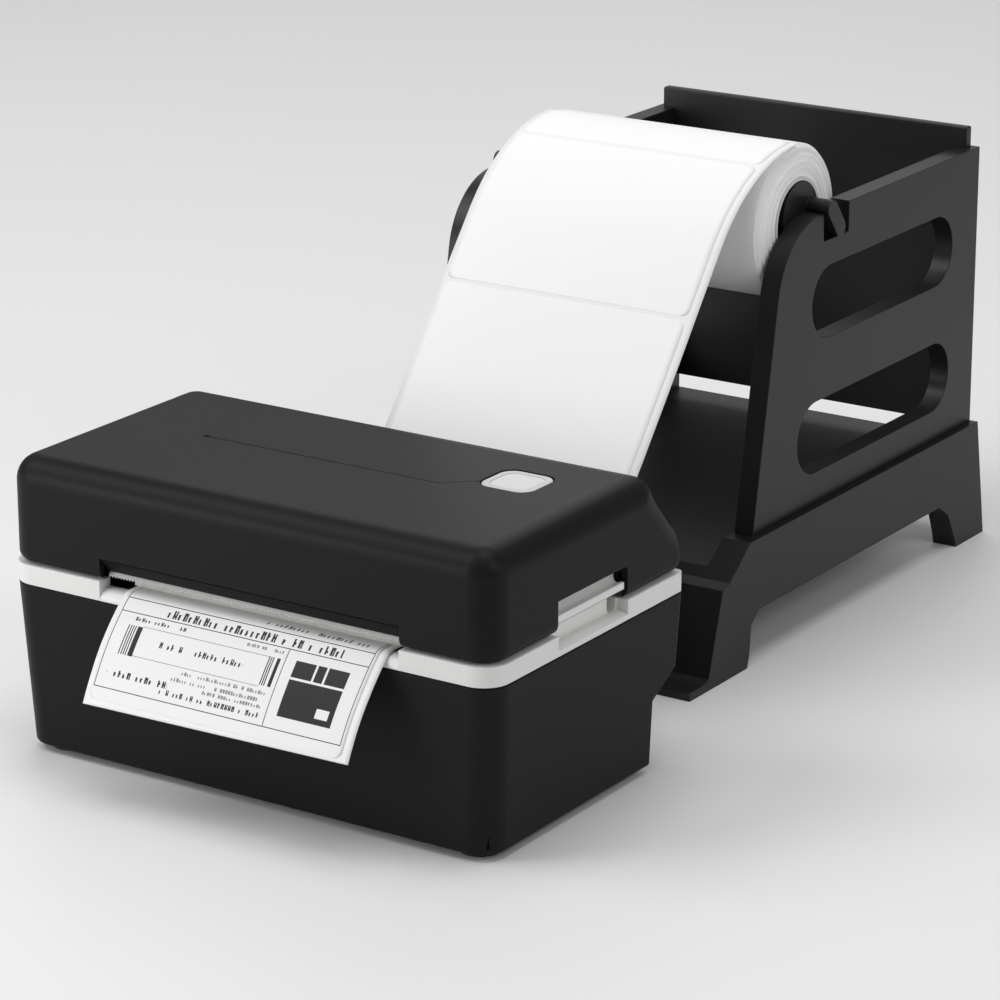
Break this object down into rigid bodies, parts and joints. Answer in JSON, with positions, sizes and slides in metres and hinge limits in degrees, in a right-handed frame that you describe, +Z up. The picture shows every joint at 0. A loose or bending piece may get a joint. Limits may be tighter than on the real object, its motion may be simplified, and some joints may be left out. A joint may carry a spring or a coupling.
{
  "type": "thermal label printer",
  "caption": "Desktop thermal label printer with a hinged lid, tear-off mouth and side latches, fed by a label roll on a separate slotted stand behind it.",
  "frame": {"origin": "middle of the whole assembly's footprint, on the table", "axes": "+Z up; -Y towards the printer's front, where labels come out; +Y towards the stand behind it; +X towards the right of a person facing the printer's front"},
  "size_m": [0.195, 0.4104, 0.1794],
  "materials": {
    "casing_black": "fine satin texture",
    "band_grey": "satin",
    "holder_black": "fine satin texture",
    "rubber_black": "matt",
    "bright_steel": "bright",
    "plated_steel": "zinc plated",
    "head_aluminium": "extruded",
    "head_ceramic": "glazed",
    "inner_plastic": "moulded",
    "gear_plastic": "moulded",
    "bush_bronze": "sintered",
    "circuit_green": "solder mask",
    "socket_black": "glossy",
    "socket_steel": "plated",
    "button_grey": "translucent satin",
    "label_paper": "coated white",
    "core_board": "wound board",
    "spindle_plastic": "moulded"
  },
  "bodies": {
    "base": {"base_shell": "casing_black", "bottom_cover": "casing_black", "cover_screws": "plated_steel", "rubber_feet": "rubber_black", "mid_frame": "band_grey", "deck_plate": "inner_plastic", "gap_sensor": "inner_plastic", "side_plate_left": "plated_steel", "side_plate_right": "plated_steel", "platen_bushes": "bush_bronze", "idler_pin": "bright_steel", "feed_motor": "plated_steel", "pinion_stud": "bright_steel", "control_board": "circuit_green", "board_posts": "inner_plastic", "board_parts": "socket_black", "power_jack": "socket_black", "usb_port": "socket_steel", "switch_housing": "socket_black", "holder_base": "holder_black", "holder_wall_left": "holder_black", "holder_wall_right": "holder_black", "holder_back_panel": "holder_black", "holder_screws": "plated_steel", "printed_label": "label_paper", "label_web": "label_paper"},
    "lid": {"lid_shell": "casing_black", "mouth_insert": "casing_black", "tear_blade": "bright_steel", "head_bridge": "inner_plastic", "head_springs": "bright_steel", "hinge_pins": "bright_steel", "latch_pins": "bright_steel", "button_board": "inner_plastic", "button_contact": "socket_steel"},
    "print_head": {"head_ceramic": "head_ceramic", "head_heatsink": "head_aluminium"},
    "button": {"feed_button": "button_grey", "button_lens": "button_grey"},
    "latch_l": {"latch_left": "band_grey"},
    "latch_r": {"latch_right": "band_grey"},
    "platen": {"platen_roller": "rubber_black", "platen_shaft": "bright_steel", "platen_gear": "gear_plastic"},
    "idler": {"idler_gear": "gear_plastic"},
    "pinion": {"motor_pinion": "gear_plastic", "motor_shaft": "bright_steel"},
    "guide_l": {"guide_left": "inner_plastic"},
    "guide_r": {"guide_right": "inner_plastic"},
    "guide_wheel": {"guide_pinion": "gear_plastic"},
    "rocker": {"rocker_switch": "socket_black"},
    "spindle": {"hub_left": "spindle_plastic", "hub_right": "spindle_plastic", "spindle_rod": "spindle_plastic"},
    "roll": {"label_roll": "label_paper", "roll_core": "core_board"}
  },
  "joints": [
    {"name": "lid_hinge", "type": "hinge", "parent": "base", "child": "lid", "pos_m": [0, -0.07255, 0.0712], "axis": [-1, 0, 0], "range_deg": [0, 80]},
    {"name": "head_press", "type": "slide", "parent": "lid", "child": "print_head", "axis": [0, 0, 1], "range_m": [0, 0.0015], "stiffness_N_per_m": 900, "springref_m": -0.006, "deforming": ["head_springs"]},
    {"name": "button_press", "type": "slide", "parent": "lid", "child": "button", "axis": [0, 0, -1], "range_m": [0, 0.0008], "stiffness_N_per_m": 600, "springref_m": -0.0015},
    {"name": "latch_left_press", "type": "hinge", "parent": "lid", "child": "latch_l", "pos_m": [-0.088, -0.12745, 0.0772], "axis": [0, -1, 0], "range_deg": [0, 9], "stiffness_Nm_per_rad": 0.5, "springref_deg": -11.46},
    {"name": "latch_right_press", "type": "hinge", "parent": "lid", "child": "latch_r", "pos_m": [0.088, -0.12745, 0.0772], "axis": [0, 1, 0], "range_deg": [0, 9], "stiffness_Nm_per_rad": 0.5, "springref_deg": -11.46},
    {"name": "platen_spin", "type": "hinge", "parent": "base", "child": "platen", "pos_m": [0, -0.17045, 0.05777], "axis": [1, 0, 0], "continuous": true},
    {"name": "idler_spin", "type": "hinge", "parent": "base", "child": "idler", "pos_m": [0.067, -0.15965, 0.04491], "axis": [1, 0, 0], "continuous": true},
    {"name": "pinion_spin", "type": "hinge", "parent": "base", "child": "pinion", "pos_m": [0.067, -0.14718, 0.03771], "axis": [1, 0, 0], "continuous": true},
    {"name": "guide_right_slide", "type": "slide", "parent": "base", "child": "guide_r", "axis": [1, 0, 0], "range_m": [0, 0.006]},
    {"name": "guide_left_slide", "type": "slide", "parent": "base", "child": "guide_l", "axis": [-1, 0, 0], "range_m": [0, 0.006]},
    {"name": "guide_wheel_spin", "type": "hinge", "parent": "base", "child": "guide_wheel", "pos_m": [0.0042, -0.10545, 0.06], "axis": [0, 0, 1], "range_deg": [0, 86]},
    {"name": "rocker_tilt", "type": "hinge", "parent": "base", "child": "rocker", "pos_m": [0.042, -0.08605, 0.015], "axis": [0, 0, 1], "range_deg": [0, 16]},
    {"name": "spindle_lift", "type": "slide", "parent": "base", "child": "spindle", "axis": [0, 0, 1], "range_m": [0, 0.04], "deforming": ["label_web"]},
    {"name": "roll_spin", "type": "hinge", "parent": "spindle", "child": "roll", "pos_m": [0.0042, 0.07703, 0.15051], "axis": [1, 0, 0], "continuous": true}
  ],
  "couplings": [
    {"joint": "idler_spin", "follows": "platen_spin", "ratio": -0.55556},
    {"joint": "pinion_spin", "follows": "platen_spin", "ratio": 1.6667},
    {"joint": "guide_left_slide", "follows": "guide_right_slide", "ratio": 1},
    {"joint": "guide_wheel_spin", "follows": "guide_right_slide", "rad_per_m": 250}
  ]
}
